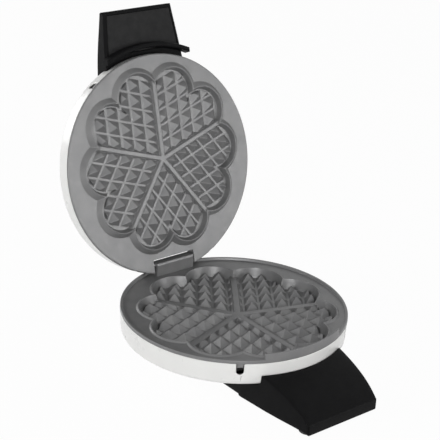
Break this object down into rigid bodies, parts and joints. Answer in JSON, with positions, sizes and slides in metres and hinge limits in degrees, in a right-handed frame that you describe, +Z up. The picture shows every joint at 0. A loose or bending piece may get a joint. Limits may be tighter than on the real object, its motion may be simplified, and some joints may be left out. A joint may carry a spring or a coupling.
{
  "type": "waffle maker",
  "caption": "Countertop waffle maker with heart-shaped moulds, a hinged lid with a handle, and a round base on a wedge stand.",
  "frame": {"origin": "middle of the open waffle maker's footprint, on the surface that it stands on", "axes": "+Z up, -Y towards the user and the handle, +Y towards the hinge, +X to the user's right"},
  "size_m": [0.187, 0.2938, 0.26],
  "materials": {
    "white_lacquer": "smooth satin lacquer",
    "coated_plate": "cast aluminium with a grey non-stick coat",
    "black_plastic": "fine moulded grain",
    "steel": "zinc plated",
    "element_sheath": "drawn steel tube",
    "shield_sheet": "mill finish sheet",
    "pad_rubber": "soft, matt",
    "control_plastic": "moulded, heat resistant",
    "lead_cover": "silicone sleeving",
    "lamp_glass": "clear",
    "red_lens": "polished",
    "green_lens": "polished"
  },
  "bodies": {
    "base": {"base_shell": "white_lacquer", "base_grill_plate": "coated_plate", "base_heater": "element_sheath", "base_heater_clamps": "steel", "base_clamp_screws": "steel", "base_heat_shield": "shield_sheet", "base_shield_screws": "steel", "base_stand": "black_plastic", "stand_cover": "black_plastic", "stand_cover_screws": "steel", "stand_pads": "pad_rubber", "stand_screws": "steel", "hinge_pin": "steel", "cord_gland": "black_plastic", "terminal_block": "control_plastic", "thermal_fuse": "control_plastic", "base_wiring": "lead_cover"},
    "lid": {"lid_shell": "white_lacquer", "lid_grill_plate": "coated_plate", "lid_heater": "element_sheath", "lid_heater_clamps": "steel", "lid_clamp_screws": "steel", "lid_heat_shield": "shield_sheet", "lid_shield_screws": "steel", "lid_handle": "black_plastic", "lid_handle_cover": "black_plastic", "finger_guard": "black_plastic", "thermostat": "control_plastic", "thermostat_bracket": "steel", "handle_screws": "steel", "lamp_board": "control_plastic", "indicator_lamps": "lamp_glass", "power_lamp_lens": "red_lens", "ready_lamp_lens": "green_lens", "lid_wiring": "lead_cover"},
    "dial": {"thermostat_dial": "black_plastic", "dial_spindle": "steel"}
  },
  "joints": [
    {"name": "lid_hinge", "type": "hinge", "parent": "base", "child": "lid", "pos_m": [0, 0.07204, 0.0523], "axis": [1, 0, 0], "range_deg": [0, 104.88]},
    {"name": "dial_turn", "type": "hinge", "parent": "lid", "child": "dial", "pos_m": [0, 0.13518, 0.19295], "axis": [0, 0.9665, -0.2568], "range_deg": [-270, 0]}
  ]
}
